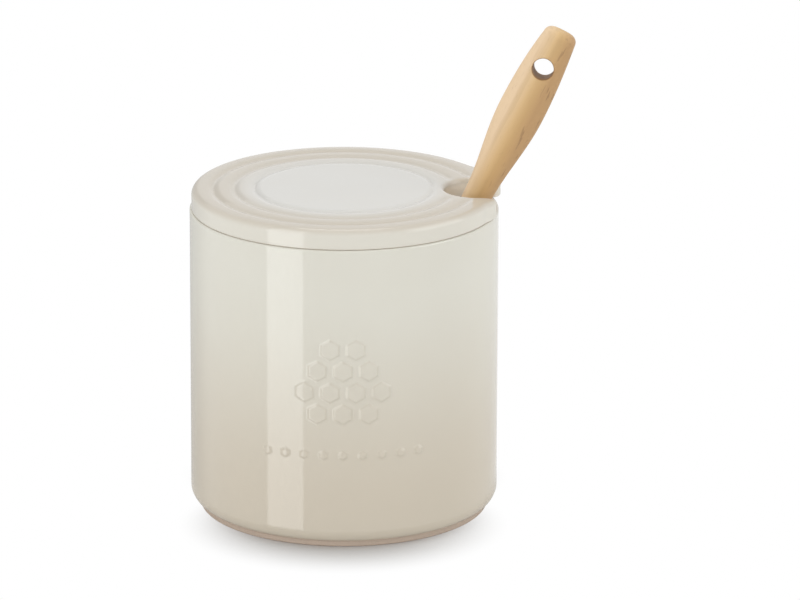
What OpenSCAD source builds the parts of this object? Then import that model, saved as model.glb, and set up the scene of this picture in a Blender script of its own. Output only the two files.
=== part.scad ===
/* [Pot] */
// Outer radius of the pot's straight wall
pot_r = 51; // [42:0.5:64]
// Height of the pot from the table to its rim, where the lid sits
pot_h = 102; // [80:1:130]
// Thickness of the pot's wall
wall_t = 3.8; // [3:0.1:5]
// Height of the pot's inner floor above the table
floor_z = 6; // [5:0.5:9]
// Radius of the rounded edge where the wall turns in to the foot
edge_r = 5; // [5:0.5:9]
// Radius of the rounded corner inside, between wall and floor
inner_edge_r = 8; // [4:0.5:12]
// Radius on both edges of the pot's rim
rim_round = 0.9; // [0.4:0.1:1.2]

/* [Foot] */
// How far the foot's side lies inside the pot's wall
foot_inset = 3.2; // [2:0.2:5]
// Height of the foot's bare clay band
foot_h = 2; // [1.6:0.2:4]
// Width of the ring that the pot stands on
foot_ring_w = 6; // [4:0.5:9]
// Depth of the hollow inside the foot ring
foot_recess = 1.4; // [0.8:0.2:2]
// Small radius at the bottom of the foot ring
foot_round = 0.6; // [0.2:0.1:1]

/* [Lid] */
// How far the lid's side lies inside the pot's wall
lid_inset = 0.6; // [0.2:0.1:1.5]
// Height of the lid above the pot's rim
lid_h = 6.9; // [5.5:0.1:9]
// Thickness of the lid's plate over the hollow under it
lid_plate_t = 6; // [3:0.5:6]
// Radius of the lid's upper edge
lid_round = 2; // [1:0.1:3]
// Radius of the lid's lower edge
lid_under_round = 0.7; // [0.3:0.1:1]
// Gap between the lid's locating ring and the inside of the pot
ring_gap = 0.6; // [0.4:0.1:1.2]
// Thickness of the locating ring
ring_t = 3; // [2:0.25:4]
// How far the locating ring reaches down into the pot
ring_h = 5; // [3:0.5:9]

/* [Lid grooves] */
// Distance from the lid's side to the outer groove
groove_edge = 7.2; // [6:0.1:10]
// Distance from one groove to the next
groove_pitch = 6.95; // [5:0.05:9]
// Number of grooves
groove_n = 3; // [1:1:4]
// Depth of each groove
groove_d = 0.55; // [0.3:0.05:0.9]
// Radius of each groove's round section
groove_r = 2.2; // [1.5:0.1:3]

/* [Notch] */
// Width of the notch that the dipper leans out of
notch_w = 22.5; // [17:0.5:26]
// How far the notch's round end sits outward of the dipper's axis
notch_set = 0.45; // [-1:0.05:2]
// Radius on the two corners of the notch's mouth
mouth_r = 2; // [1:0.25:4]
// How far the lips beside the notch stand out from the lid's round side, at most
lip_out = 3.5; // [0.5:0.1:4]
// Half of the angle over which the lips run out into the lid's round side
lip_turn = 28; // [24:1:34]
// Angle from the notch's middle to where the lips stand out most, towards the back
lip_side = 6; // [0:1:10]

/* [Dipper handle] */
// Lean of the dipper from upright, in degrees
lean = 26; // [18:0.5:28]
// Gap between the handle and the pot's rim that it leans on
rest_gap = 0.3; // [0.2:0.05:0.5]
// Radius of the handle's round neck
neck_r = 4.65; // [4:0.05:5]
// Half width of the handle at its widest
swell_r = 7.7; // [6:0.1:8.5]
// Distance up the handle from the rim to where the swelling starts
swell_from = 3; // [0:0.5:8]
// Distance up the handle from the rim to its widest place
swell_at = 37; // [28:0.5:42]
// Length of the handle above the rim
handle_up = 67.2; // [58:0.2:80]
// Half width of the handle at its end
end_r = 5.2; // [4.5:0.1:6]
// Radius on the corners of the handle's end
end_round = 2; // [1:0.25:3]
// Thickness of the handle's flat upper part
flat_t = 8.6; // [7:0.1:9]
// Diameter of the hanging hole
hole_d = 7; // [4:0.25:7]
// Distance from the handle's end to the middle of the hanging hole
hole_down = 13.8; // [10:0.1:18]
// Turn of the handle about its own length, towards the left
handle_turn = 7; // [0:1:12]

/* [Dipper head] */
// Length of the dipper's head
head_l = 44; // [36:1:50]
// Largest radius of the head's ridges
head_r = 14; // [11:0.5:16]
// Radius of the head's core, at the bottom of its grooves
core_r = 7.5; // [6:0.25:8.5]
// Radius of the head's round tip
tip_r = 8; // [7:0.25:9]
// Radius that the ridges shrink to at both ends of the head
ridge_end_r = 10; // [9:0.25:11]
// Number of ridges on the head
ridge_n = 7; // [4:1:8]
// Thickness of each ridge
ridge_t = 2.6; // [2:0.1:3]
// Chamfer on both edges of each ridge
ridge_edge = 0.8; // [0.4:0.1:0.9]
// Height of the first ridge above the tip
ridge_from = 6.5; // [5:0.5:9]
// Gap between the last ridge and the collar
ridge_to = 2.8; // [1.5:0.1:5]
// Gap between the head's tip and the pot's floor
tip_gap = 0.2; // [0.1:0.1:0.5]
// Height of the collar at the head's upper end
collar_l = 4; // [3:0.5:5]
// How far the collar stands out around the handle's neck
collar_out = 1.2; // [0.8:0.1:2]
// Radius of the tenon at the handle's lower end
tenon_r = 3; // [2:0.1:3.5]
// Length of the tenon
tenon_l = 18; // [10:1:24]
// Gap around the tenon in the head
tenon_gap = 0.05; // [0.05:0.05:0.2]

/* [Raised pattern] */
// Height that the pattern stands out from the wall
relief = 0.6; // [0.3:0.1:1]
// Width across the flats of one honeycomb cell
cell_w = 7.2; // [5:0.2:8]
// Gap between neighbouring honeycomb cells
cell_gap = 1.2; // [0.8:0.1:2]
// Height of the honeycomb's middle above the table
comb_z = 57.5; // [45:0.5:65]
// Width across the flats of one small hexagon in the row below
bead_w = 3.8; // [2.5:0.1:5]
// Distance between the small hexagons, along the wall
bead_pitch = 6.4; // [5.5:0.1:8]
// Number of small hexagons in the row
bead_n = 9; // [5:2:11]
// Height of the row's middle above the table
bead_z = 32.5; // [24:0.5:38]

/* [Hidden] */
$fn = 96;

// overshoot of cutting shapes
eps = 0.5;

// inside of the pot
in_r = pot_r - wall_t;
// the foot's side, and the height where the rounded edge meets the straight wall
foot_r = pot_r - foot_inset;
edge_cx = pot_r - edge_r;
edge_z = foot_h + sqrt(edge_r * edge_r - (foot_r - edge_cx) * (foot_r - edge_cx));

// the lid's side and its locating ring
lid_r = pot_r - lid_inset;
lid_top = pot_h + lid_h;
ring_r = in_r - ring_gap;
ring_in_r = ring_r - ring_t;

// the dipper's axis crosses the rim's height at axis_x: its neck clears the rim's round edge
axis_x = in_r + rim_round - (neck_r + rest_gap + rim_round - rim_round * sin(lean)) / cos(lean);
// distance down the axis from the rim's height to the head's tip, and to the handle's shoulder
tip_down = (pot_h - floor_z - tip_gap - tip_r) / cos(lean) + tip_r;
shoulder_down = tip_down - head_l;

// middle of the notch's round end, level with the middle of the lid
notch_r = notch_w / 2;
notch_x = axis_x + lid_h / 2 * tan(lean) + notch_set;
// circle of the lips' side: it crosses the lid's side at lip_turn to both sides of lip_side
lip_top = lid_r + lip_out;
lip_mid = (lip_top * lip_top - lid_r * lid_r) / (2 * (lip_top - lid_r * cos(lip_turn)));
lip_r = lip_top - lip_mid;
lip_x = lip_mid * cos(lip_side);
lip_y = lip_mid * sin(lip_side);
// width of the lips' band, which stays over the lid's solid edge
lip_w = 4;
// where the notch's side, -1 or 1, meets the lips' side
function mouth_x(side) = lip_x + sqrt(lip_r * lip_r - pow(side * notch_r - lip_y, 2));

// half width of the handle at a distance s above the rim
function ease(t) = (1 - cos(180 * min(max(t, 0), 1))) / 2;
function half_w(s) = s <= swell_at
    ? neck_r + (swell_r - neck_r) * ease((s - swell_from) / (swell_at - swell_from))
    : swell_r - (swell_r - end_r) * pow((s - swell_at) / (handle_up - swell_at), 2);
// half thickness of the handle at a distance s above the rim
function half_t(s) = neck_r + (flat_t / 2 - neck_r) * ease((s - swell_from) / (swell_at - swell_from));
// stations along the curved part of the handle, up to where its end corner starts
station_n = 24;
stations = [for (i = [0 : station_n - 1]) swell_from + (handle_up - end_round - swell_from) * i / station_n];
// angles round the corner of the handle's end
corner_n = 6;
corner = [for (i = [0 : corner_n]) 90 * i / corner_n];

// radius of one ridge of the head, by its number from the tip
function ridge_r(i) = ridge_end_r + (head_r - ridge_end_r) * sin(180 * (i + 0.5) / ridge_n);
ridge_pitch = (head_l - collar_l - ridge_from - ridge_t - ridge_to) / (ridge_n - 1);

// rows of the honeycomb: cells in each row, from the top
comb_rows = [2, 3, 4, 3];
comb_pitch = cell_w + cell_gap;

// half section of the pot's outside: straight wall, rounded lower edge and foot
module pot_section() {
    translate([0, edge_z]) square([pot_r, pot_h - rim_round - edge_z]);
    translate([0, edge_z]) square([pot_r - rim_round, pot_h - edge_z]);
    translate([pot_r - rim_round, pot_h - rim_round]) circle(rim_round);
    intersection() {
        translate([edge_cx, edge_z]) circle(edge_r);
        translate([edge_cx, foot_h - eps]) square([edge_r, edge_z - foot_h + 2 * eps]);
    }
    translate([0, foot_h]) square([edge_cx + eps, edge_z - foot_h + eps]);
    translate([0, foot_round]) square([foot_r, foot_h - foot_round + eps]);
    square([foot_r - foot_round, foot_h]);
    translate([foot_r - foot_round, foot_round]) circle(foot_round);
}

// half section of the pot's inside, open at the top
module pot_hollow() {
    translate([0, floor_z + inner_edge_r]) square([in_r, pot_h - floor_z - inner_edge_r + eps]);
    translate([0, floor_z]) square([in_r - inner_edge_r, inner_edge_r + eps]);
    translate([in_r - inner_edge_r, floor_z + inner_edge_r]) circle(inner_edge_r);
}

// what the rim's inner edge loses to its rounding
module rim_inner_cut() {
    difference() {
        translate([in_r - eps, pot_h - rim_round]) square([rim_round + eps, rim_round + eps]);
        translate([in_r + rim_round, pot_h - rim_round]) circle(rim_round);
    }
}

// one raised hexagon on the front of the wall, at an arc distance x and a height z
module hexagon(x, z, w) {
    rotate([0, 0, x / pot_r * 180 / PI])
        translate([0, -pot_r + wall_t / 2, z])
            rotate([90, 0, 0])
                rotate([0, 0, 30])
                    cylinder(h = wall_t + relief, r = w / sqrt(3), $fn = 6);
}

// honeycomb group and the row of small hexagons, cut to the wall's curve
module pattern() {
    rows = len(comb_rows);
    intersection() {
        difference() {
            cylinder(h = pot_h, r = pot_r + relief);
            translate([0, 0, -eps]) cylinder(h = pot_h + 2 * eps, r = pot_r - wall_t / 2);
        }
        union() {
            for (j = [0 : rows - 1], i = [0 : comb_rows[j] - 1])
                hexagon((i - (comb_rows[j] - 1) / 2) * comb_pitch,
                        comb_z + ((rows - 1) / 2 - j) * comb_pitch * sqrt(3) / 2, cell_w);
            for (i = [0 : bead_n - 1])
                hexagon((i - (bead_n - 1) / 2) * bead_pitch, bead_z, bead_w);
        }
    }
}

module pot() {
    color([0.87, 0.84, 0.78])
        union() {
            difference() {
                rotate_extrude() pot_section();
                rotate_extrude() pot_hollow();
                rotate_extrude() rim_inner_cut();
                translate([0, 0, -eps]) cylinder(h = foot_recess + eps, r = foot_r - foot_ring_w);
            }
            pattern();
        }
}

// half section of the lid: plate with rounded edges, and the locating ring under it
module lid_section() {
    translate([0, lid_top - lid_plate_t]) square([ring_in_r + eps, lid_plate_t]);
    translate([ring_in_r, pot_h]) square([lid_r - lid_round - ring_in_r, lid_h]);
    translate([ring_in_r, pot_h + lid_under_round])
        square([lid_r - ring_in_r, lid_h - lid_round - lid_under_round]);
    translate([ring_in_r, pot_h]) square([lid_r - lid_under_round - ring_in_r, lid_h / 2]);
    translate([lid_r - lid_round, lid_top - lid_round]) circle(lid_round);
    translate([lid_r - lid_under_round, pot_h + lid_under_round]) circle(lid_under_round);
    translate([ring_in_r, pot_h - ring_h]) square([ring_t, ring_h + eps]);
}

// half section of the band that makes the lips, with the lid's own edges
module lip_section() {
    inner = lip_r - lip_w;
    translate([inner, pot_h + lid_under_round])
        square([lip_w, lid_h - lid_round - lid_under_round]);
    translate([inner, pot_h]) square([lip_w - lid_under_round, lid_h / 2]);
    translate([inner, pot_h + lid_h / 2]) square([lip_w - lid_round, lid_h / 2]);
    translate([lip_r - lid_round, lid_top - lid_round]) circle(lid_round);
    translate([lip_r - lid_under_round, pot_h + lid_under_round]) circle(lid_under_round);
}

// the lips: the part of that band that lies beside the notch
module lips() {
    far = 2 * pot_r;
    near_turn = lip_side - lip_turn - 2;
    far_turn = lip_side + lip_turn + 2;
    intersection() {
        translate([lip_x, lip_y, 0]) rotate_extrude() lip_section();
        translate([0, 0, pot_h - eps])
            linear_extrude(height = lid_h + 2 * eps)
                polygon([[0, 0], far * [cos(near_turn), sin(near_turn)],
                         far * [cos(far_turn), sin(far_turn)]]);
    }
}

// outline of the notch, open outward, with rounded corners at its mouth
module notch_outline() {
    translate([notch_x, 0]) circle(notch_r);
    translate([notch_x, -notch_r]) square([pot_r, notch_w]);
    for (side = [-1, 1])
        difference() {
            translate([mouth_x(side) - mouth_r, side * (notch_r + mouth_r / 2) - mouth_r / 2])
                square([pot_r, mouth_r]);
            translate([mouth_x(side) - mouth_r, side * (notch_r + mouth_r)]) circle(mouth_r);
        }
}

module lid() {
    color([0.88, 0.86, 0.81])
        difference() {
            union() {
                rotate_extrude() lid_section();
                lips();
            }
            for (i = [0 : groove_n - 1])
                rotate_extrude()
                    translate([lid_r - groove_edge - i * groove_pitch, lid_top + groove_r - groove_d])
                        circle(groove_r);
            translate([0, 0, pot_h - ring_h - eps])
                linear_extrude(height = lid_h + ring_h + 2 * eps) notch_outline();
        }
}

// places the dipper: its axis along z, with zero where it crosses the rim's height
module along_dipper() {
    translate([axis_x, 0, pot_h]) rotate([0, lean, 0]) children();
}

// half section of the handle
module handle_section() {
    polygon(concat(
        [[0, -shoulder_down], [neck_r, -shoulder_down]],
        [for (s = stations) [half_w(s), s]],
        [for (a = corner) [half_w(handle_up - end_round) - end_round + end_round * cos(a),
                           handle_up - end_round + end_round * sin(a)]],
        [[0, handle_up]]));
}

// side outline of the handle, flat in its upper part, with rounded end corners
module handle_side() {
    low = shoulder_down + eps;
    right = concat(
        [[neck_r + eps, -low], [neck_r + eps, swell_from], [half_t(swell_from), swell_from]],
        [for (s = stations) if (s > swell_from) [half_t(s), s]],
        [for (a = corner) [flat_t / 2 - end_round + end_round * cos(a),
                           handle_up - end_round + end_round * sin(a)]]);
    polygon(concat(right, [for (i = [len(right) - 1 : -1 : 0]) [-right[i][0], right[i][1]]]));
}

module dipper_handle() {
    color([0.85, 0.68, 0.46])
        along_dipper() {
            rotate([0, 0, -handle_turn]) difference() {
                intersection() {
                    rotate_extrude() handle_section();
                    translate([-2 * swell_r, 0, 0])
                        rotate([90, 0, 90])
                            linear_extrude(height = 4 * swell_r) handle_side();
                }
                translate([0, 0, handle_up - hole_down])
                    rotate([90, 0, 0])
                        cylinder(h = 4 * swell_r, d = hole_d, center = true);
            }
            translate([0, 0, -shoulder_down - tenon_l]) cylinder(h = tenon_l + eps, r = tenon_r);
        }
}

// half section of the head: round tip, core, ridges and collar
module head_section() {
    intersection() {
        translate([0, tip_r]) circle(tip_r);
        square([tip_r, tip_r]);
    }
    translate([0, tip_r - eps]) square([core_r, head_l - tip_r - collar_l + eps]);
    polygon([[0, head_l - collar_l], [core_r, head_l - collar_l],
             [neck_r + collar_out, head_l - collar_l + collar_l / 2],
             [neck_r + collar_out, head_l], [0, head_l]]);
    for (i = [0 : ridge_n - 1]) {
        u = ridge_from + i * ridge_pitch;
        r = ridge_r(i);
        polygon([[0, u], [r - ridge_edge, u], [r, u + ridge_edge],
                 [r, u + ridge_t - ridge_edge], [r - ridge_edge, u + ridge_t], [0, u + ridge_t]]);
    }
}

module dipper_head() {
    color([0.90, 0.87, 0.80])
        along_dipper()
            translate([0, 0, -tip_down])
                difference() {
                    rotate_extrude() head_section();
                    translate([0, 0, head_l - tenon_l - tenon_gap])
                        cylinder(h = tenon_l + tenon_gap + eps, r = tenon_r + tenon_gap);
                }
}

pot();
lid();
dipper_handle();
dipper_head();
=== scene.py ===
import math

import bpy
import numpy as np
from mathutils import Matrix, Vector
from mathutils.geometry import delaunay_2d_cdt


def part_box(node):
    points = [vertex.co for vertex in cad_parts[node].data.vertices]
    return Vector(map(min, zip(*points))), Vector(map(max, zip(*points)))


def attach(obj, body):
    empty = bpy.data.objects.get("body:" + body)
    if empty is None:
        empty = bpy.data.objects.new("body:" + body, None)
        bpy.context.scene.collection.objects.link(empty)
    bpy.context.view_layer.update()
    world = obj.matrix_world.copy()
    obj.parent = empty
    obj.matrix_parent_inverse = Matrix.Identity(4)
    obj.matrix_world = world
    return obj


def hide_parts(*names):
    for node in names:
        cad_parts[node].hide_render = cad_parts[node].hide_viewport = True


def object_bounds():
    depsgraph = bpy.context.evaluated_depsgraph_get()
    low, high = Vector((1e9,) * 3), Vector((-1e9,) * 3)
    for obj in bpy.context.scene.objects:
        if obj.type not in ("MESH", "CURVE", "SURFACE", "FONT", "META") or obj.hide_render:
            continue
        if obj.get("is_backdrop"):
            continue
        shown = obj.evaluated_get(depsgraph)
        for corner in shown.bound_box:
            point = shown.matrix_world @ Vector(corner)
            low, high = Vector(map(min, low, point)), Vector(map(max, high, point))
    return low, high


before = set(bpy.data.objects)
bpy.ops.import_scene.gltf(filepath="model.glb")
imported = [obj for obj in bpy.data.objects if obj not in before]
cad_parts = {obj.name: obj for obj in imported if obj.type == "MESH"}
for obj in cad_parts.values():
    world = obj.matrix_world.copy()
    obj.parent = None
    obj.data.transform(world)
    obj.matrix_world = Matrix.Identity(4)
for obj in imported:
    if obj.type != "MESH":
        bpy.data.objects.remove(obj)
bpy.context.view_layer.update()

# Pot
# One wall of slip-cast stoneware with a rounded lower edge, dipped in a glossy off-white glaze.
# The comb on its front is part of the casting, so the glaze rounds it off. The foot is wiped bare
# before firing, and so is the rim's flat top where the lid covers it.
mm = 0.001
pot_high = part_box("pot")[1]
wall_radius = pot_high.x / mm
rim_height = pot_high.z / mm
inside_radius = wall_radius - 3.8
foot_radius = wall_radius - 3.2
foot_height = 2.0
foot_hollow = 1.4
foot_inner = foot_radius - 6.0
floor_height = 6.0
lower_edge = 5.0
inner_edge = 8.0
rim_edge = 0.9
seen_rim_edge = 0.6
comb_low, comb_high = 28.5, 72.0
clay_colour = (0.585, 0.475, 0.385)
glaze_top = (0.730, 0.718, 0.640)
glaze_bottom = (0.610, 0.550, 0.450)


class Wire:
    """A node tree's socket that can be used in sums as a number can; make() adds any other node."""

    def __init__(self, tree, socket=None):
        self.tree = tree
        self.socket = socket

    def make(self, kind, settings=None, inputs=None, out=0):
        node = self.tree.nodes.new(kind)
        for name, value in (settings or {}).items():
            if name == "stops":
                ramp = node.color_ramp
                ramp.elements[0].position, ramp.elements[1].position = value[0][0], value[-1][0]
                for place, _ in value[1:-1]:
                    ramp.elements.new(place)
                for element, (_, colour) in zip(ramp.elements, value):
                    element.color = (*colour, 1.0)
            else:
                setattr(node, name, value)
        for name, value in (inputs or {}).items():
            for one in value if isinstance(value, list) else [value]:
                if isinstance(one, Wire):
                    self.tree.links.new(one.socket, node.inputs[name])
                else:
                    node.inputs[name].default_value = one
        return Wire(self.tree, node.outputs[out]) if node.outputs else None

    def also(self, out):
        return Wire(self.tree, self.socket.node.outputs[out])

    def math(self, operation, first, *others):
        return self.make("ShaderNodeMath", {"operation": operation}, dict(enumerate((first, *others))))

    def __add__(self, other):
        return self.math("ADD", self, other)

    def __sub__(self, other):
        return self.math("SUBTRACT", self, other)

    def __rsub__(self, other):
        return self.math("SUBTRACT", other, self)

    def __mul__(self, other):
        return self.math("MULTIPLY", self, other)

    def __truediv__(self, other):
        return self.math("DIVIDE", self, other)

    __radd__ = __add__
    __rmul__ = __mul__


def finish(name):
    """An empty material and the wire that its nodes are made from."""
    material = bpy.data.materials.new(name)
    material.use_nodes = True
    material.node_tree.nodes.clear()
    return material, Wire(material.node_tree)


def steps(wire, value, low, high):
    """0 below low, 1 above high and a smooth rise between them."""
    settings = {"interpolation_type": "SMOOTHSTEP"}
    return wire.make("ShaderNodeMapRange", settings, {0: value, 1: low, 2: high, 3: 0.0, 4: 1.0})


def mixed(wire, factor, first, second):
    """A colour between two colours."""
    return wire.make("ShaderNodeMix", {"data_type": "RGBA"}, {0: factor, 6: first, 7: second}, out=2)


def noise(wire, place, scale, detail=2.0, roughness=0.5):
    """Fractal noise from 0 to 1, with a scale per metre."""
    inputs = {"Vector": place, "Scale": scale, "Detail": detail, "Roughness": roughness}
    return wire.make("ShaderNodeTexNoise", {}, inputs)


def rgba(colour):
    """A linear colour with full alpha."""
    return (*colour, 1.0)


def shell(name, vertices, faces, material):
    """A smooth mesh object from points in millimetres."""
    mesh = bpy.data.meshes.new(name)
    mesh.from_pydata((np.asarray(vertices, float) * mm).tolist(), [], faces)
    mesh.validate()
    mesh.materials.append(material)
    mesh.shade_smooth()
    made = bpy.data.objects.new(name, mesh)
    bpy.context.scene.collection.objects.link(made)
    return made


def turned(outline, angles):
    """Points and faces of an outline of (radius, height) turned about Z, from axis to axis."""
    rows = np.array(outline[1:-1], float)
    count = len(angles)
    radius, height = rows[:, :1], np.repeat(rows[:, 1:], count, 1)
    points = np.stack([radius * np.cos(angles), radius * np.sin(angles), height], 2).reshape(-1, 3)
    points = np.vstack([points, [(0, 0, outline[0][1]), (0, 0, outline[-1][1])]])
    here = np.arange(count)
    after = (here + 1) % count
    faces = []
    for row in range(len(rows) - 1):
        low, high = row * count, (row + 1) * count
        faces += np.stack([low + here, low + after, high + after, high + here], 1).tolist()
    first, last = len(rows) * count, len(rows) * count + 1
    top = (len(rows) - 1) * count
    faces += [(first, int(b), int(a)) for a, b in zip(here, after)]
    faces += [(last, int(top + a), int(top + b)) for a, b in zip(here, after)]
    return points, faces


def arc(centre_r, centre_h, radius, start, end, count):
    """Points of a round corner, with angles in degrees."""
    turn = [math.radians(start + (end - start) * i / count) for i in range(count + 1)]
    return [(centre_r + radius * math.cos(t), centre_h + radius * math.sin(t)) for t in turn]


def glazed(name, colour_rule, bare_rule):
    """Glossy glaze over brown clay: a rule gives the glaze's colour, another where it is wiped off."""
    material, wire = finish(name)
    place = wire.make("ShaderNodeTexCoord", out="Object")
    split = wire.make("ShaderNodeSeparateXYZ", {}, {0: place})
    x, y, z = split, split.also(1), split.also(2)
    radius = wire.math("SQRT", x * x + y * y)
    clouds = noise(wire, place, 45.0, 3.0)
    colour = colour_rule(wire, x, y, z, radius)
    colour = mixed(wire, clouds * 0.14, colour, rgba((0.60, 0.52, 0.40)))
    bare = bare_rule(wire, place, radius, z)
    grit = noise(wire, place, 1800.0, 4.0, 0.7)
    clay = mixed(wire, grit * 0.5, rgba(clay_colour), rgba([0.62 * c for c in clay_colour]))
    colour = mixed(wire, bare, colour, clay)
    gloss = 0.055 + 0.03 * clouds
    ripple = noise(wire, place, 110.0, 1.0)
    height = ripple * 0.000012 * (1 - bare) + grit * 0.00006 * bare
    bump = wire.make("ShaderNodeBump", {}, {"Strength": 1.0, "Distance": 1.0, "Height": height})
    roughness = gloss + bare * 0.65
    inputs = {"Base Color": colour, "Roughness": roughness, "Normal": bump, "IOR": 1.5}
    shader = wire.make("ShaderNodeBsdfPrincipled", {}, inputs)
    wire.make("ShaderNodeOutputMaterial", {}, {"Surface": shader})
    return material


def pot_colour(wire, x, y, z, radius):
    """Off-white at the rim, warm beige at the foot, and thinner on the edges of the raised comb."""
    down = steps(wire, z, 0.093, 0.012)
    colour = mixed(wire, down, rgba(glaze_top), rgba(glaze_bottom))
    proud = steps(wire, radius, 0.05105, 0.0513) * steps(wire, radius, 0.05158, 0.0514)
    return mixed(wire, proud * 0.22, colour, rgba((0.52, 0.45, 0.35)))


def pot_bare(wire, place, radius, z):
    """Bare clay on the foot and on the rim's flat top, under the lid."""
    edge = noise(wire, place, 160.0, 2.0) * 0.0005
    foot = steps(wire, z + edge, 0.0029, 0.0024) * steps(wire, radius, 0.0405, 0.0415)
    rim = steps(wire, z, 0.10188, 0.10196) * steps(wire, radius, 0.0496, 0.0494)
    return wire.math("MAXIMUM", foot, rim)


edge_middle = wall_radius - lower_edge
edge_start = math.degrees(math.asin((foot_radius - edge_middle) / lower_edge))
edge_height = foot_height + lower_edge * math.cos(math.radians(edge_start))
pot_outline = [(0, foot_hollow), (foot_inner * 0.5, foot_hollow), (foot_inner - 0.6, foot_hollow)]
pot_outline += arc(foot_inner - 0.4, foot_hollow - 0.4, 0.4, 90, 0, 4)
pot_outline += arc(foot_inner + 0.4, 0.4, 0.4, 180, 270, 4)
pot_outline += [(foot_inner + 3.0, 0)]
pot_outline += arc(foot_radius - 0.6, 0.6, 0.6, -90, 0, 5)
pot_outline += [(foot_radius, 1.4)]
pot_outline += arc(edge_middle, edge_height, lower_edge, edge_start - 90, 0, 18)
pot_outline += [(wall_radius, h) for h in np.linspace(edge_height + 1.2, comb_low - 1.0, 14)]
pot_outline += [(wall_radius, h) for h in np.linspace(comb_low, comb_high, 130)]
pot_outline += [(wall_radius, h) for h in np.linspace(comb_high + 1.2, rim_height - seen_rim_edge - 0.8, 14)]
pot_outline += arc(wall_radius - seen_rim_edge, rim_height - seen_rim_edge, seen_rim_edge, 0, 90, 6)
pot_outline += arc(inside_radius + rim_edge, rim_height - rim_edge, rim_edge, 90, 180, 6)
pot_outline += [(inside_radius, h) for h in np.linspace(rim_height - 3, floor_height + inner_edge + 1, 8)]
pot_outline += arc(inside_radius - inner_edge, floor_height + inner_edge, inner_edge, 0, -90, 10)
pot_outline += [(inside_radius * f, floor_height) for f in (0.78, 0.6, 0.4, 0.2)] + [(0, floor_height)]
front_turn = np.radians(np.linspace(-127, -53, 200, endpoint=False))
rest_turn = np.radians(np.linspace(-53, 233, 100, endpoint=False))
pot_points, pot_faces = turned(pot_outline, np.concatenate([front_turn, rest_turn]))

pot_glaze = glazed("pot_glaze", pot_colour, pot_bare)
pot_blank = shell("pot_blank", pot_points, pot_faces, pot_glaze)


def modelled(blank, name, tree, values):
    """The plain mesh that a Geometry Nodes tree makes of a blank."""
    modifier = blank.modifiers.new(name, "NODES")
    modifier.node_group = tree
    for item in tree.interface.items_tree:
        if item.item_type == "SOCKET" and item.in_out == "INPUT" and item.name in values:
            modifier[item.identifier] = values[item.name]
    bpy.context.view_layer.update()
    mesh = bpy.data.meshes.new_from_object(blank.evaluated_get(bpy.context.evaluated_depsgraph_get()))
    mesh.name = name
    mesh.shade_smooth()
    made = bpy.data.objects.new(name, mesh)
    bpy.context.scene.collection.objects.link(made)
    blank.modifiers.remove(modifier)
    bpy.data.objects.remove(blank)
    return made


def opened(name, values):
    """A Geometry Nodes tree with one named input for each value, and the wires of its inputs."""
    kinds = {float: "NodeSocketFloat", int: "NodeSocketInt", bpy.types.Material: "NodeSocketMaterial"}
    tree = bpy.data.node_groups.new(name, "GeometryNodeTree")
    tree.interface.new_socket(name="Blank", in_out="INPUT", socket_type="NodeSocketGeometry")
    for label, value in values.items():
        tree.interface.new_socket(name=label, in_out="INPUT", socket_type=kinds[type(value)])
    tree.interface.new_socket(name="Piece", in_out="OUTPUT", socket_type="NodeSocketGeometry")
    wire = Wire(tree)
    given = wire.make("NodeGroupInput")
    return tree, wire, {label: given.also(label) for label in ("Blank", *values)}


comb_values = {
    "Wall radius": wall_radius * mm,
    "Relief": 0.52 * mm,
    "Soft edge": 1.25 * mm,
    "Cell width": 7.2 * mm,
    "Cell pitch": 8.4 * mm,
    "Comb height": 57.5 * mm,
    "Bead width": 3.8 * mm,
    "Bead pitch": 6.4 * mm,
    "Bead count": 9,
    "Bead height": 32.5 * mm,
    "Glaze": pot_glaze,
}
comb_tree, wire, given = opened("raised_comb", comb_values)


def line_of_cells(wire, count, pitch, height):
    """Points at the middles of a row of cells, laid flat: along the wall in X, up in Z."""
    start = wire.make("ShaderNodeCombineXYZ", {}, {0: (1 - count) * 0.5 * pitch, 2: height})
    step = wire.make("ShaderNodeCombineXYZ", {}, {0: pitch})
    return wire.make("GeometryNodeMeshLine", {}, {"Count": count, "Start Location": start, "Offset": step})


def raised_by(wire, rows, place, width, soft):
    """1 inside the nearest hexagon of the rows and 0 outside, with a soft edge."""
    points = wire.make("GeometryNodeJoinGeometry", {}, {0: rows})
    inputs = {0: points, "Sample Position": place}
    nearest = wire.make("GeometryNodeSampleNearest", {"domain": "POINT"}, inputs)
    settings = {"data_type": "FLOAT_VECTOR", "domain": "POINT"}
    spot = wire.make("GeometryNodeInputPosition")
    inputs = {"Geometry": points, "Value": spot, "Index": nearest}
    middle = wire.make("GeometryNodeSampleIndex", settings, inputs)
    off = wire.make("ShaderNodeVectorMath", {"operation": "SUBTRACT"}, {0: place, 1: middle})
    split = wire.make("ShaderNodeSeparateXYZ", {}, {0: off})
    across = wire.math("ABSOLUTE", split)
    slant = across * 0.5 + wire.math("ABSOLUTE", split.also(2)) * (math.sqrt(3) / 2)
    inward = width * 0.5 - wire.math("MAXIMUM", across, slant)
    settings = {"interpolation_type": "SMOOTHERSTEP"}
    return wire.make("ShaderNodeMapRange", settings, {0: inward, 1: 0.0, 2: soft, 3: 0.0, 4: 1.0})


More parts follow.
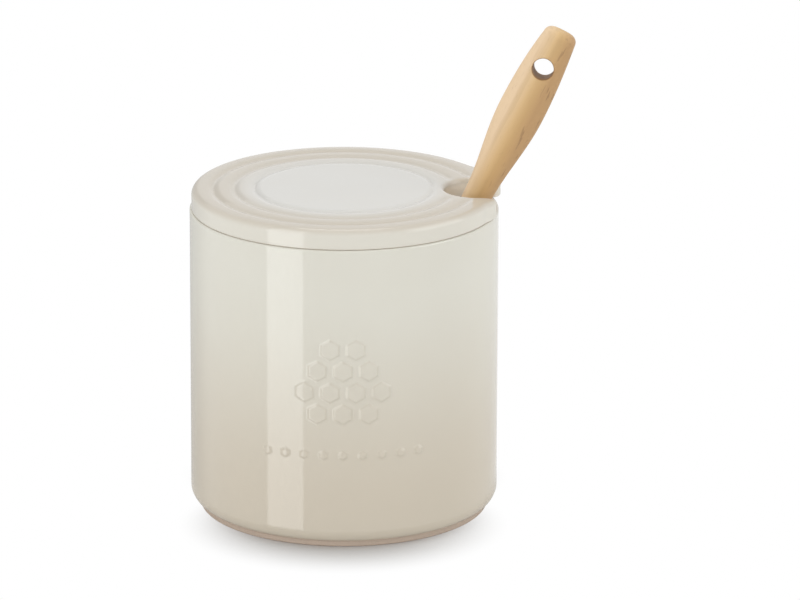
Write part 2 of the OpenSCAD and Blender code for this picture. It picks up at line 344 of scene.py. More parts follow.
spot = wire.make("GeometryNodeInputPosition")
split = wire.make("ShaderNodeSeparateXYZ", {}, {0: spot})
x, y, z = split, split.also(1), split.also(2)
along = wire.math("ARCTAN2", x, 0.0 - y) * given["Wall radius"]
unrolled = wire.make("ShaderNodeCombineXYZ", {}, {0: along, 2: z})
comb_rows = []
for row, count in enumerate((2, 3, 4, 3)):
    row_height = given["Comb height"] + given["Cell pitch"] * ((1.5 - row) * math.sqrt(3) / 2)
    comb_rows.append(line_of_cells(wire, count, given["Cell pitch"], row_height))
beads = [line_of_cells(wire, given["Bead count"], given["Bead pitch"], given["Bead height"])]
cells = raised_by(wire, comb_rows, unrolled, given["Cell width"], given["Soft edge"])
small = raised_by(wire, beads, unrolled, given["Bead width"], given["Soft edge"])
reach = wire.math("SQRT", x * x + y * y)
on_wall = wire.math("GREATER_THAN", reach, given["Wall radius"] - 0.0004)
rise = wire.math("MAXIMUM", cells, small) * on_wall * given["Relief"]
flat = wire.make("ShaderNodeCombineXYZ", {}, {0: x / reach, 1: y / reach})
push = wire.make("ShaderNodeVectorMath", {"operation": "SCALE"}, {0: flat, "Scale": rise})
lifted = wire.make("GeometryNodeSetPosition", {}, {"Geometry": given["Blank"], "Offset": push})
solid = wire.make("GeometryNodeRealizeInstances", {}, {0: lifted})
glazed_pot = wire.make("GeometryNodeSetMaterial", {}, {"Geometry": solid, "Material": given["Glaze"]})
wire.make("NodeGroupOutput", {}, {0: glazed_pot})
stoneware_pot = modelled(pot_blank, "stoneware_pot", comb_tree, comb_values)
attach(stoneware_pot, "pot")
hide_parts("pot")

# Lid
# A flat stoneware lid of the same casting clay, with soft rings between three grooves, a ring under
# it that drops into the pot, and a notch cut while the clay is leather-hard. The glaze rounds every
# edge of it. It rests on the rim, and only its own weight holds it.
lid_low, lid_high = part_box("lid")
lid_radius = lid_high.y / mm
lid_top = lid_high.z / mm
lid_under = rim_height
ring_bottom = lid_low.z / mm
ring_outer = inside_radius - 0.6
ring_inner = ring_outer - 3.0
wall_half = 0.003
ring_walls = [wall + off for wall in (ring_inner, ring_outer) for off in (-wall_half, wall_half)]
plate_under = lid_top - 6.0
notch_radius = 11.25
notch_middle = 44.16
mouth_round = 2.0
outer_round = 2.0
notch_round = 1.4
groove_radii = [43.2, 36.25, 29.3]
groove_depth = 0.45
ring_crown = 0.18
lip_top = lid_radius + 3.5
lip_middle = (lip_top**2 - lid_radius**2) / (2 * (lip_top - lid_radius * math.cos(math.radians(28))))
lip_radius = lip_top - lip_middle
lip_turn = math.radians(6)


def lid_surface(spots):
    """Height of the lid's top: a flat disc, and convex rings that run out level at the notch."""
    radius = np.hypot(spots[:, 0], spots[:, 1])
    height = np.zeros_like(radius)
    for groove in groove_radii:
        away = np.abs(radius - groove)
        height -= groove_depth * np.clip(1 - away / 2.0, 0, 1) ** 1.5
    for inner, outer in zip(groove_radii[1:], groove_radii[:-1]):
        across = np.clip((radius - inner) / (outer - inner), 0, 1)
        height -= ring_crown * (np.cos(2 * math.pi * across) + 1) / 2 * (across > 0) * (across < 1)
    past = np.clip((radius - groove_radii[0]) / (lid_radius - groove_radii[0]), 0, 1)
    height -= ring_crown * (np.cos(math.pi * np.clip(past / 0.4, 0, 1)) + 1) / 2 * (past > 0)
    behind = np.minimum(spots[:, 0] - notch_middle, 0)
    away = np.clip((np.hypot(behind, spots[:, 1]) - notch_radius) / 5.0, 0, 1)
    level = 1 - away**2 * (3 - 2 * away)
    height = height * (1 - level) - 0.12 * level
    return lid_top + height - 0.35 * np.clip((past - 0.35) / 0.65, 0, 1) ** 2


def lid_lower(radius):
    """Height of the lid's underside: rim seat, locating ring and the hollow inside it."""
    at = [0, ring_inner - 0.9, ring_inner - 0.2, *ring_walls[:2], ring_inner + 0.5,
          ring_outer - 0.5, *ring_walls[2:], lid_radius]
    z = [plate_under, plate_under, plate_under - 0.35, plate_under - 0.9, ring_bottom + 0.5, ring_bottom,
         ring_bottom, ring_bottom + 0.5, lid_under, lid_under]
    return np.interp(radius, at, z)


def side_radius(turn):
    """Radius of the lid's side, which runs smoothly out into the two lips beside the notch."""
    off = lip_middle * np.sin(turn - lip_turn)
    past = lip_middle * np.cos(turn - lip_turn) + np.sqrt(lip_radius**2 - off**2) - lid_radius
    return lid_radius + (past + np.sqrt(past**2 + 0.01)) / 2


def mouth_corner(side):
    """Points of the rounded corner of one lip, from the lid's side to the notch's side."""
    middle = lip_middle * math.cos(lip_turn), lip_middle * math.sin(lip_turn)
    y = side * (notch_radius + mouth_round)
    x = middle[0] + math.sqrt((lip_radius - mouth_round) ** 2 - (y - middle[1]) ** 2)
    start = math.atan2(y - middle[1], x - middle[0])
    turn = np.linspace(start, -side * math.pi / 2, 17)
    return np.column_stack([x + mouth_round * np.cos(turn), y + mouth_round * np.sin(turn)])


def lid_edge():
    """The lid's outline as rows of x, y, inward normal and edge radius, anticlockwise.

    It gets extra points where it crosses the walls of the ring under the lid.
    """
    near, far = mouth_corner(-1), mouth_corner(1)
    turn = np.radians(np.linspace(-90, -270, 73))
    bend = np.column_stack([notch_middle + notch_radius * np.cos(turn), notch_radius * np.sin(turn)])
    ends = []
    for corner, side in ((near, -1), (far, 1)):
        x = np.linspace(corner[-1, 0], notch_middle, 7)[1:-1]
        ends.append(np.column_stack([x, np.full(5, side * notch_radius)]))
    notch = np.vstack([near, ends[0], bend, ends[1][::-1], far[::-1]])
    first = math.atan2(far[0, 1], far[0, 0])
    last = math.atan2(near[0, 1], near[0, 0]) + 2 * math.pi
    side = np.linspace(first, last, 310)[1:-1]
    near_mouth = np.clip((np.abs(side - math.pi) - 2.4) / 0.45, 0, 1)
    soft = outer_round + (notch_round - outer_round) * near_mouth
    radius = side_radius(side)
    parts = [np.column_stack([radius * np.cos(side), radius * np.sin(side), soft])]
    parts.append(np.column_stack([notch, np.full(len(notch), notch_round)]))
    rows = np.vstack(parts)
    along = np.roll(rows[:, :2], -1, 0) - np.roll(rows[:, :2], 1, 0)
    along /= np.hypot(along[:, :1], along[:, 1:])
    rows = np.column_stack([rows[:, :2], -along[:, 1], along[:, 0], rows[:, 2]])
    cuts = []
    for radius in ring_walls:
        reach = np.hypot(rows[:, 0], rows[:, 1]) - radius
        for i in np.nonzero(reach[:-1] * reach[1:] < 0)[0]:
            part = reach[i] / (reach[i] - reach[i + 1])
            cuts.append((i + part, rows[i] + part * (rows[i + 1] - rows[i])))
    places = np.concatenate([np.arange(len(rows)), [c[0] for c in cuts]])
    rows = np.vstack([rows] + [c[1][None] for c in cuts])
    return rows[np.argsort(places, kind="stable")]


def inside(points, loop):
    """Which points lie inside a closed loop."""
    ahead = np.roll(loop, -1, 0)
    x, y = points[:, :1], points[:, 1:2]
    crossed = (loop[:, 1] > y) != (ahead[:, 1] > y)
    slope = (ahead[:, 0] - loop[:, 0]) / (ahead[:, 1] - loop[:, 1] + 1e-12)
    return (crossed & (x < loop[:, 0] + (y - loop[:, 1]) * slope)).sum(1) % 2 == 1


def clear_of(points, loop, gap):
    """The points that lie inside a closed loop and further than gap from it."""
    points = points[inside(points, loop)]
    away = np.hypot(points[:, :1] - loop[:, 0], points[:, 1:] - loop[:, 1]).min(1)
    return points[away > gap]


def filled(loop, inner, walls=()):
    """Triangles between a closed loop and points inside it; the circles of walls stay as edges."""
    every = np.vstack([loop, inner])
    sides = [(i, (i + 1) % len(loop)) for i in range(len(loop))]
    for wall in walls:
        on_wall = np.nonzero(np.abs(np.hypot(every[:, 0], every[:, 1]) - wall) < 0.001)[0]
        on_wall = on_wall[np.argsort(np.arctan2(every[on_wall, 1], every[on_wall, 0]))]
        for first, second in zip(on_wall, np.roll(on_wall, -1)):
            if np.hypot(*(every[first] - every[second])) < 2.5:
                sides.append((int(first), int(second)))
    out = delaunay_2d_cdt([Vector(p) for p in every], sides, [], 1, 1e-5, True)
    source = np.array([ids[0] for ids in out[3]])
    faces = source[np.array(out[2])]
    on_loop = (faces < len(loop)).all(1)
    kept = ~on_loop
    kept[on_loop] = inside(every[faces[on_loop]].mean(1), loop)
    return faces[kept].tolist()


def ringed(radii, step):
    """Points on circles, about one step apart, with the axis first."""
    rows = [np.zeros((1, 2))]
    for radius in radii:
        count = max(8, int(round(2 * math.pi * radius / step)))
        turn = (np.arange(count) + 0.5 * (int(2 * radius) % 2)) * 2 * math.pi / count
        rows.append(np.stack([radius * np.cos(turn), radius * np.sin(turn)], 1))
    return np.vstack(rows)


edge = lid_edge()
count = len(edge)
lid_points, lid_faces = [], []
roll = np.linspace(0, math.pi / 2, 8)
for phi in roll:
    depth = edge[:, 4] * (1 - math.cos(phi))
    spots = edge[:, :2] + edge[:, 2:4] * depth[:, None]
    height = lid_surface(spots) - edge[:, 4] * (1 - math.sin(phi))
    lid_points.append(np.column_stack([spots, height]))
here = np.arange(count)
after = (here + 1) % count
for row in range(len(roll) - 1):
    low, high = row * count, (row + 1) * count
    lid_faces += np.stack([low + here, low + after, high + after, high + here], 1).tolist()
inner_loop = lid_points[-1][:, :2]
fine = np.concatenate([np.linspace(3, 26, 10), np.arange(26.6, lip_top, 0.36)])
spots = ringed(fine, 0.95)
spots = clear_of(spots, inner_loop, 0.45)
height = lid_surface(spots)
start = (len(roll) - 1) * count
lid_faces += [tuple(start + i for i in face) for face in filled(inner_loop, spots)]
lid_points.append(np.column_stack([spots, height]))
total = sum(len(p) for p in lid_points)

reach = np.hypot(edge[:, 0], edge[:, 1])
outside = np.clip((reach - ring_outer - 0.4) / 1.2, 0, 1)
under_round = (0.45 + 0.6 * np.clip((reach - 51) / 1.2, 0, 1)) * outside
wall_top = lid_points[0][:, 2]
wall_low = lid_lower(reach)
wall_rows = [0]
for part in (0.2, 0.45, 0.7, 0.9):
    height = wall_top + (wall_low + under_round - wall_top) * part
    wall_rows.append(total)
    lid_points.append(np.column_stack([edge[:, :2], height]))
    total += count
for phi in np.linspace(0, math.pi / 2, 5):
    depth = under_round * (1 - math.cos(phi))
    height = wall_low + under_round * (1 - math.sin(phi))
    wall_rows.append(total)
    lid_points.append(np.column_stack([edge[:, :2] + edge[:, 2:4] * depth[:, None], height]))
    total += count
for high, low in zip(wall_rows[:-1], wall_rows[1:]):
    lid_faces += np.stack([high + after, high + here, low + here, low + after], 1).tolist()
under = np.linspace(4, ring_inner - 0.9, 12).tolist()
under += [ring_inner + off for off in (-0.2, -wall_half, wall_half, 0.25, 0.5, 1.5)]
under += [ring_outer + off for off in (-0.5, -0.25, -wall_half, wall_half)]
under += np.linspace(48.0, lip_top, 7).tolist()
spots = ringed(under, 1.1)
under_loop = lid_points[-1][:, :2]
spots = clear_of(spots, under_loop, 0.5)
height = lid_lower(np.hypot(spots[:, 0], spots[:, 1]))
start = wall_rows[-1]
lid_faces += [tuple(start + i for i in face)[::-1] for face in filled(under_loop, spots, ring_walls)]
lid_points.append(np.column_stack([spots, height]))


def lid_colour(wire, x, y, z, radius):
    """Neutral off-white disc, warmer where the glaze runs thin on the rings and at the edge, and painted
    lighter on the notch's wall, which lies in shade under the lid's top.
    """
    outward = steps(wire, radius, 0.027, 0.040)
    colour = mixed(wire, outward, rgba((0.690, 0.684, 0.652)), rgba((0.610, 0.560, 0.478)))
    colour = mixed(wire, steps(wire, z, 0.1086, 0.1066), colour, rgba((0.735, 0.712, 0.635)))
    # Painted light: the notch's wall lies in shade below the lid's top, so it is painted a lighter cream than
    # the glaze.
    notch_painted_light = steps(wire, wire.math("ABSOLUTE", y), 0.0122, 0.0112) * steps(wire, x, 0.031, 0.033)
    return mixed(wire, notch_painted_light * steps(wire, z, 0.1080, 0.1060), colour, rgba((0.880, 0.820, 0.715)))


def lid_bare(wire, place, radius, z):
    """Bare clay where the lid sits on the rim."""
    return steps(wire, z, 0.10228, 0.10210) * steps(wire, radius, 0.0455, 0.0465)


lid_glaze = glazed("lid_glaze", lid_colour, lid_bare)
stoneware_lid = shell("stoneware_lid", np.vstack(lid_points), lid_faces, lid_glaze)
stoneware_lid.data.set_sharp_from_angle(angle=math.radians(50))
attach(stoneware_lid, "lid")
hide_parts("lid")

# Dipper handle
# Straight-grained beech, shaped round in the neck and oval above it, sanded, and bored for hanging.
# A tenon at its lower end is glued into the head. It leans on the rim, through the lid's notch.
lean = math.radians(26)
neck_radius = 4.65
swell_half = 7.7
swell_from = 3.0
swell_at = 37.0
handle_up = 67.2
end_half = 5.2
end_round = 3.0
flat_half = 4.3
hole_radius = 3.5
hole_at = handle_up - 13.8
hole_round = 0.7
off_rim = (neck_radius + 0.3 + rim_edge - rim_edge * math.sin(lean)) / math.cos(lean)
axis_x = inside_radius + rim_edge - off_rim
tip_radius = 8.0
head_length = 44.0
tip_down = (rim_height - floor_height - 0.2 - tip_radius) / math.cos(lean) + tip_radius
shoulder_down = tip_down - head_length
tenon_radius = 3.0
tenon_length = 18.0
along_dipper = Matrix.Translation(Vector((axis_x, 0, rim_height)) * mm) @ Matrix.Rotation(lean, 4, "Y")
along_handle = along_dipper @ Matrix.Rotation(-math.radians(7), 4, "Z")


def handle_size(s):
    """Half width, half thickness, squareness and sideways bow of the handle at a height s."""
    rise = (1 - math.cos(math.pi * min(max((s - swell_from) / (swell_at - swell_from), 0), 1))) / 2
    if s <= swell_at:
        half = neck_radius + (swell_half - neck_radius) * rise
    else:
        half = swell_half - (swell_half - end_half) * ((s - swell_at) / (handle_up - swell_at)) ** 2
    thick = neck_radius + (flat_half - neck_radius) * rise
    bow = 0.3 * max((s - 50) / 17, 0) ** 2
    return half, thick, 2.0 + 0.7 * rise, bow


sides = np.linspace(0, 2 * math.pi, 96, endpoint=False)
handle_rows = []


def handle_row(half, thick, square, bow, s):
    """Adds one rounded ring of points to the handle at a height s."""
    c, w = np.cos(sides), np.sin(sides)
    x = bow + half * np.sign(c) * np.abs(c) ** (2 / square)
    y = thick * np.sign(w) * np.abs(w) ** (2 / square)
    handle_rows.append(np.column_stack([x, y, np.full_like(x, s)]))


tenon_end = -shoulder_down - tenon_length
for part in (0.35, 0.8):
    handle_row(tenon_radius * part, tenon_radius * part, 2, 0, tenon_end)
for part, s in ((0.9, 0), (1, 0.3), (1, tenon_length / 2), (1, tenon_length - 0.02)):
    handle_row(tenon_radius * part, tenon_radius * part, 2, 0, tenon_end + s)
for inset in (0.8, 0.3, 0.08, 0):
    rounding = 0.3 - math.sqrt(0.09 - min(inset, 0.3) ** 2 * 0.99)
    handle_row(neck_radius - inset, neck_radius - inset, 2, 0, -shoulder_down + rounding)
stations = np.concatenate([np.linspace(-shoulder_down + 1, swell_from, 40, endpoint=False),
                           np.linspace(swell_from, handle_up - end_round, 90)])
for s in stations:
    handle_row(*handle_size(s), s)
half, thick, square, bow = handle_size(handle_up - end_round)
for phi in np.linspace(0, math.pi / 2, 10)[1:]:
    shrink = end_round * (1 - math.cos(phi))
    tip = handle_up - end_round + end_round * math.sin(phi)
    handle_row(half - shrink * 1.15, thick - shrink, square, bow, tip - 0.25 * math.sin(phi) ** 4)
for part in (0.6, 0.25):
    last = handle_rows[-1]
    handle_rows.append(np.column_stack([last[:, 0] * part, last[:, 1] * part, last[:, 2] + 0.1 * (1 - part)]))
around = len(sides)
handle_points = np.vstack(handle_rows + [[(0, 0, tenon_end)], [(0, 0, handle_up - 0.05)]])
handle_faces = []
here = np.arange(around)
after = (here + 1) % around
for row in range(len(handle_rows) - 1):
    low, high = row * around, (row + 1) * around
    handle_faces += np.stack([low + here, low + after, high + after, high + here], 1).tolist()
top = (len(handle_rows) - 1) * around
first = len(handle_rows) * around
handle_faces += [(first, int(b), int(a)) for a, b in zip(here, after)]
handle_faces += [(first + 1, int(top + a), int(top + b)) for a, b in zip(here, after)]


def beech():
    """Oiled beech: long pale and tan streaks, short dark flecks and fine pores along the grain, with painted
    light and shade across the handle, pale on its left side and dark on its right, and the bored hole
    darkened partly for its end grain and partly as painted shade.
    """
    material, wire = finish("beech")
    place = wire.make("ShaderNodeTexCoord", out="Object")
    inputs = {"Vector": place, "Location": tuple(-along_dipper.translation), "Rotation": (0, 0, 0)}
    moved = wire.make("ShaderNodeMapping", {}, inputs)
    straight = wire.make("ShaderNodeMapping", {}, {"Vector": moved, "Rotation": (0, -lean, 0)})
    straight = wire.make("ShaderNodeMapping", {}, {"Vector": straight, "Rotation": (0, 0, math.radians(7))})
    long = wire.make("ShaderNodeMapping", {}, {"Vector": straight, "Scale": (1.0, 1.0, 0.06)})
    short = wire.make("ShaderNodeMapping", {}, {"Vector": straight, "Scale": (1.0, 1.0, 0.16)})
    streaks = noise(wire, long, 420.0, 5.0, 0.62)
    bands = noise(wire, long, 120.0, 2.0, 0.5)
    split = wire.make("ShaderNodeSeparateXYZ", {}, {0: straight})
    across, along = split, split.also(2)
    # Painted light and shade: the colour runs from pale on the handle's left side, which faces the strip
    # light, to dark on its right side, which is in shade. The noise bands make the boundary wander.
    lit_left_shaded_right = (across + (bands - 0.5) * 0.005 + 0.0048) / 0.0096
    stops = [(0.0, (0.820, 0.612, 0.395)), (0.42, (0.710, 0.490, 0.246)),
             (0.70, (0.600, 0.388, 0.180)), (1.0, (0.500, 0.306, 0.143))]
    colour = wire.make("ShaderNodeValToRGB", {"stops": stops}, {0: lit_left_shaded_right})
    late_wood = steps(wire, streaks, 0.50, 0.68)
    colour = mixed(wire, late_wood * 0.16, colour, rgba((0.42, 0.25, 0.11)))
    honey = steps(wire, noise(wire, long, 55.0, 1.0), 0.56, 0.68)
    colour = mixed(wire, honey * 0.22, colour, rgba((0.62, 0.36, 0.13)))
    flecks = noise(wire, short, 900.0, 2.0, 0.6)
    dark = steps(wire, flecks, 0.60, 0.70) * steps(wire, across, 0.0005, 0.0045)
    colour = mixed(wire, dark * 0.55, colour, rgba((0.26, 0.15, 0.07)))
    pores = noise(wire, short, 2600.0, 1.0)
    pits = steps(wire, pores, 0.66, 0.76)
    colour = mixed(wire, pits * 0.14, colour, rgba((0.36, 0.22, 0.11)))
    up = along - hole_at * mm
    off = wire.math("SQRT", across * across + up * up)
    # Darker inside the bored hole: partly the end grain, which soaks up more oil, and partly painted shade in
    # the hole.
    end_grain_and_painted_shade = steps(wire, off, (hole_radius + 0.45) * mm, (hole_radius + 0.1) * mm)
    colour = mixed(wire, end_grain_and_painted_shade * 0.85, colour, rgba((0.29, 0.145, 0.050)))
    height = streaks * 0.00004 - pits * 0.00003 - dark * 0.00002
    bump = wire.make("ShaderNodeBump", {}, {"Strength": 1.0, "Distance": 1.0, "Height": height})
    inputs = {"Base Color": colour, "Roughness": 0.50 + 0.14 * streaks, "Normal": bump, "IOR": 1.45}
    shader = wire.make("ShaderNodeBsdfPrincipled", {}, inputs)
    wire.make("ShaderNodeOutputMaterial", {}, {"Surface": shader})
    return material


wood = beech()
beech_handle = shell("beech_handle", handle_points, handle_faces, wood)
drill_outline = [(0, -9.0)]
flare = [(hole_radius + 2.0, -9.0), (hole_radius + hole_round + 1.2, -flat_half - 0.02)]
for phi in np.linspace(0, math.pi / 2, 9):
    outward, depth = hole_round * (1 - math.sin(phi)), hole_round * (1 - math.cos(phi))
    flare.append((hole_radius + outward, depth - flat_half))
drill_outline += flare + [(hole_radius, -1.5), (hole_radius, 1.5)]
drill_outline += [(r, -h) for r, h in flare[::-1]] + [(0, 9.0)]
drill_points, drill_faces = turned(drill_outline, np.linspace(0, 2 * math.pi, 72, endpoint=False))
drill_points = drill_points[:, [0, 2, 1]] * (1, -1, 1) + (0, 0, hole_at)
drill = shell("drill", drill_points, drill_faces, wood)
boring = beech_handle.modifiers.new("boring", "BOOLEAN")
boring.operation = "DIFFERENCE"
boring.solver = "EXACT"
boring.object = drill
bpy.context.view_layer.update()
bored = bpy.data.meshes.new_from_object(beech_handle.evaluated_get(bpy.context.evaluated_depsgraph_get()))
beech_handle.modifiers.remove(boring)
beech_handle.data = bored
bpy.data.objects.remove(drill)
bored.transform(along_handle)
bored.shade_smooth()
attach(beech_handle, "dipper")
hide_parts("dipper_handle")

# Dipper head
# Food-grade silicone moulded in one piece: a round tip, a core with ridges that hold the honey
# between them, and a collar round the handle's neck, with a blind hole for the tenon.
core_radius = 7.5
collar_radius = neck_radius + 1.2
collar_length = 4.0
rows_up = head_length / 2 * (1 - np.cos(np.linspace(0, math.pi, 360)))
head_outline = []
for h in rows_up[:-1]:
    body = min(math.sqrt(max(h * (2 * tip_radius - h), 0)), core_radius) if h < tip_radius else core_radius
    into_collar = min(max((h - head_length + collar_length) / (collar_length / 2), 0), 1)
    head_outline.append((body + (collar_radius - core_radius) * into_collar, h))
head_outline += arc(collar_radius - 0.5, head_length - 0.5, 0.5, 30, 90, 4)
head_outline += [(neck_radius, head_length), (tenon_radius + 0.3, head_length)]
head_outline += [(tenon_radius + 0.05, head_length - 0.3)]
head_outline += [(tenon_radius + 0.05, head_length - f * tenon_length) for f in (0.3, 0.7, 1.0)]
head_outline += [(0, head_length - tenon_length - 0.05)]
head_points, head_faces = turned(head_outline, np.linspace(0, 2 * math.pi, 96, endpoint=False))


def silicone():
    """Matt moulded silicone with a faint bloom of dust and moulding texture."""
    material, wire = finish("silicone")
    place = wire.make("ShaderNodeTexCoord", out="Object")
    clouds = noise(wire, place, 90.0, 3.0)
    grain = noise(wire, place, 2500.0, 2.0)
    colour = mixed(wire, clouds, rgba((0.66, 0.60, 0.49)), rgba((0.74, 0.69, 0.58)))
    bump = wire.make("ShaderNodeBump", {}, {"Strength": 1.0, "Distance": 1.0, "Height": grain * 0.00001})
    inputs = {"Base Color": colour, "Roughness": 0.42 + 0.12 * clouds, "Normal": bump, "IOR": 1.41,
              "Subsurface Weight": 0.08, "Subsurface Radius": (0.003, 0.002, 0.0015)}
    shader = wire.make("ShaderNodeBsdfPrincipled", {}, inputs)
    wire.make("ShaderNodeOutputMaterial", {}, {"Surface": shader})
    return material


rubber = silicone()
ridge_values = {
    "Ridge count": 7,
    "First ridge": 6.5 * mm,
    "Ridge pitch": 28.1 / 6 * mm,
    "Ridge thickness": 2.6 * mm,
    "Largest radius": 14.0 * mm,
    "End radius": 10.0 * mm,
    "Soft edge": 0.62 * mm,
    "Rubber": rubber,
}
ridge_tree, wire, given = opened("honey_ridges", ridge_values)
spot = wire.make("GeometryNodeInputPosition")
split = wire.make("ShaderNodeSeparateXYZ", {}, {0: spot})
x, y, z = split, split.also(1), split.also(2)
reach = wire.math("SQRT", x * x + y * y)
middle = given["First ridge"] + given["Ridge thickness"] * 0.5
turn = (z - middle) / given["Ridge pitch"]
number = wire.math("ROUND", turn)
number = wire.math("MINIMUM", wire.math("MAXIMUM", number, 0.0), given["Ridge count"] - 1.0)
off = wire.math("ABSOLUTE", z - middle - number * given["Ridge pitch"])
swell = wire.math("SINE", (number + 0.5) * math.pi / given["Ridge count"])
ridge_radius = given["End radius"] + (given["Largest radius"] - given["End radius"]) * swell
within = given["Ridge thickness"] * 0.5 - off
settings = {"interpolation_type": "LINEAR"}
rise = wire.make("ShaderNodeMapRange", settings, {0: within, 1: 0.0, 2: given["Soft edge"], 3: 0.0, 4: 1.0})
rounded = wire.math("SQRT", 1 - (1 - rise) * (1 - rise))
outer = wire.math("GREATER_THAN", reach, 3.4 * mm)
grown = reach + wire.math("MAXIMUM", ridge_radius - reach, 0.0) * rounded * outer
scale = grown / wire.math("MAXIMUM", reach, 0.00001)
moved = wire.make("ShaderNodeCombineXYZ", {}, {0: x * scale, 1: y * scale, 2: z})
ridged = wire.make("GeometryNodeSetPosition", {}, {"Geometry": given["Blank"], "Position": moved})
solid = wire.make("GeometryNodeRealizeInstances", {}, {0: ridged})
moulded = wire.make("GeometryNodeSetMaterial", {}, {"Geometry": solid, "Material": given["Rubber"]})
wire.make("NodeGroupOutput", {}, {0: moulded})
head_blank = shell("head_blank", head_points, head_faces, rubber)
silicone_head = modelled(head_blank, "silicone_head", ridge_tree, ridge_values)
silicone_head.data.transform(along_dipper @ Matrix.Translation((0, 0, -tip_down * mm)))
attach(silicone_head, "dipper")
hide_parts("dipper_head")

# Floor and light
# A white studio floor under a soft box, with a tall strip at the left front and a wide fill at the right.
# Close to the pot the floor keeps its real shadow, and the camera sees it a darker grey there, in
# painted-shadow lobes in front of and behind the pot. Two curved cards behind the pot, seen only in its
# glaze, grey the reflections at its sides.
floor_mesh = bpy.data.meshes.new("studio_floor")
floor_mesh.from_pydata([(-9, -9, 0), (9, -9, 0), (9, 9, 0), (-9, 9, 0)], [], [(0, 1, 2, 3)])
studio_floor = bpy.data.objects.new("studio_floor", floor_mesh)
bpy.context.scene.collection.objects.link(studio_floor)
paper, wire = finish("studio_paper")
place = wire.make("ShaderNodeTexCoord", out="Object")
split = wire.make("ShaderNodeSeparateXYZ", {}, {0: place})
# Painted shadow: an oval lobe in front of the pot and a mirrored one behind it, inside which the floor is not
# yet plain white.
shadow_lobe_offset = wire.math("ABSOLUTE", split.also(1)) / 0.055 - 0.455
reach = wire.math("SQRT", (split / 0.060) * (split / 0.060) + shadow_lobe_offset * shadow_lobe_offset)
path = wire.make("ShaderNodeLightPath")
seen = wire.math("MINIMUM", path.also("Is Camera Ray") + path.also("Is Transmission Ray"), 1.0)
far = steps(wire, reach, 0.40, 0.93)
# Painted shadow: inside the lobes the camera sees the floor's diffuse colour as a darker grey (0.60), while
# bounced light sees it as 0.88.
pale = mixed(wire, path.also("Is Camera Ray"), rgba((0.88, 0.88, 0.88)), rgba((0.60, 0.59, 0.58)))
matt = wire.make("ShaderNodeBsdfDiffuse", {}, {"Color": pale})
white = wire.make("ShaderNodeEmission", {}, {"Color": rgba((1, 1, 1)), "Strength": 1.0})
clear = wire.make("ShaderNodeBsdfTransparent")
surface = wire.make("ShaderNodeMixShader", {}, {0: seen * far, 1: matt, 2: white})
from_axis = wire.math("SQRT", split * split + split.also(1) * split.also(1))
unseen = path.also("Is Glossy Ray") * steps(wire, from_axis, 0.056, 0.068)
surface = wire.make("ShaderNodeMixShader", {}, {0: unseen, 1: surface, 2: clear})
wire.make("ShaderNodeOutputMaterial", {}, {"Surface": surface})
floor_mesh.materials.append(paper)
studio_floor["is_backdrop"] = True

world = bpy.data.worlds.new("studio")
world.use_nodes = True
world.node_tree.nodes.clear()
wire = Wire(world.node_tree)
path = wire.make("ShaderNodeLightPath")
seen = path.also("Is Camera Ray") + path.also("Is Glossy Ray") + path.also("Is Transmission Ray")
seen = wire.math("MINIMUM", seen, 1.0)
air = wire.make("ShaderNodeBackground", {}, {"Color": rgba((1, 1, 1)), "Strength": 0.60 + 0.40 * seen})
wire.make("ShaderNodeOutputWorld", {}, {"Surface": air})
bpy.context.scene.world = world


def soft_box(name, azimuth, distance, height, width, tall, power):
    """A rectangular lamp that faces the pot; azimuth in degrees, 0 towards the camera, left positive."""
    lamp = bpy.data.lights.new(name, "AREA")
    lamp.shape = "RECTANGLE"
    lamp.size, lamp.size_y = width, tall
    lamp.energy = power
    made = bpy.data.objects.new(name, lamp)
    turn = math.radians(azimuth)
    spot = Vector((-distance * math.sin(turn), -distance * math.cos(turn), height))
    made.location = spot
    made.rotation_euler = (Vector((0, 0, 0.06)) - spot).to_track_quat("-Z", "Y").to_euler()
    made.visible_camera = False
    bpy.context.scene.collection.objects.link(made)
    return made


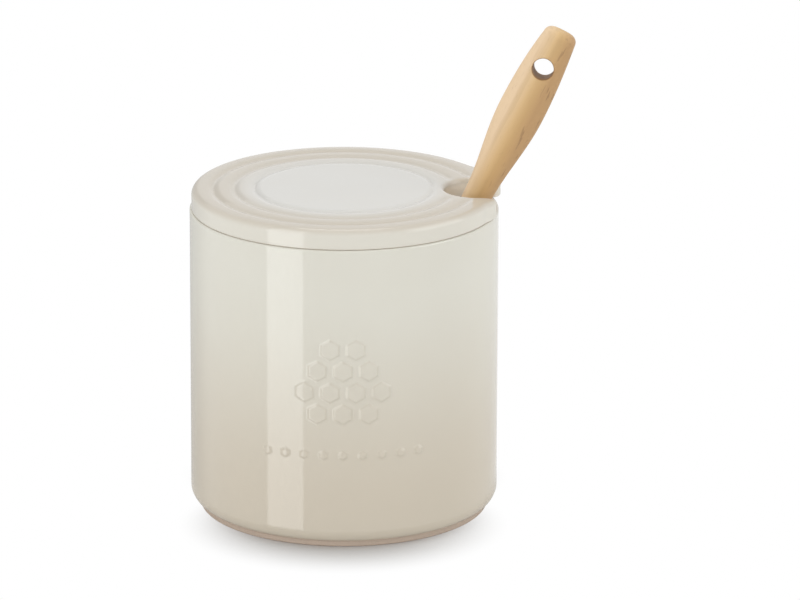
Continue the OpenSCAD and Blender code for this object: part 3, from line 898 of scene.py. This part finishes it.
soft_box("overhead_box", 180, 0.25, 1.3, 0.6, 0.6, 2.9)
soft_box("strip_box", 43.5, 1.0, 0.06, 0.50, 2.4, 8.6)
soft_box("fill_box", -75, 1.2, 0.5, 1.0, 1.0, 5.1)

grey_card, wire = finish("grey_card")
split = wire.make("ShaderNodeSeparateXYZ", {}, {0: wire.make("ShaderNodeTexCoord", out="Object")})
x, y = split, split.also(1)
turn = wire.math("ABSOLUTE", wire.math("ARCTAN2", x, 0.0 - y))
dark = steps(wire, turn, math.radians(112), math.radians(138))
dark = dark * steps(wire, turn, math.radians(175), math.radians(166))
dark = dark * (0.14 + 0.28 * steps(wire, x, 0.1, -0.1))
grey = mixed(wire, dark, rgba((1, 1, 1)), rgba((0, 0, 0)))
glow = wire.make("ShaderNodeEmission", {}, {"Color": grey, "Strength": 1.0})
wire.make("ShaderNodeOutputMaterial", {}, {"Surface": glow})
for name, side in (("left_card", 1), ("right_card", -1)):
    rows = []
    for height in (-1.2, 0.6):
        for turn in np.radians(np.linspace(108, 176, 9)):
            rows.append((-side * math.sin(turn), -math.cos(turn), height))
    card_mesh = bpy.data.meshes.new(name)
    card_mesh.from_pydata(rows, [], [(i, i + 1, i + 10, i + 9) for i in range(8)])
    card_mesh.materials.append(grey_card)
    card = bpy.data.objects.new(name, card_mesh)
    card.visible_camera = card.visible_diffuse = card.visible_shadow = card.visible_transmission = False
    bpy.context.scene.collection.objects.link(card)
    card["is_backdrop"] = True

camera_data = bpy.data.cameras.new("studio_camera")
camera_data.sensor_width = 36.0
camera_data.lens = 295.617
camera_data.clip_start, camera_data.clip_end = 0.05, 60.0
camera = bpy.data.objects.new("studio_camera", camera_data)
bpy.context.scene.collection.objects.link(camera)
camera.matrix_world = Matrix((
    (0.999994, -0.002795, -0.001863, 0.014464),
    (-0.000955, 0.295175, -0.955443, -2.079292),
    (0.003220, 0.955439, 0.295170, 0.712219),
    (0, 0, 0, 1),
))
bpy.context.scene.camera = camera
bpy.context.scene.view_settings.view_transform = "Standard"

low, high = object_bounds()
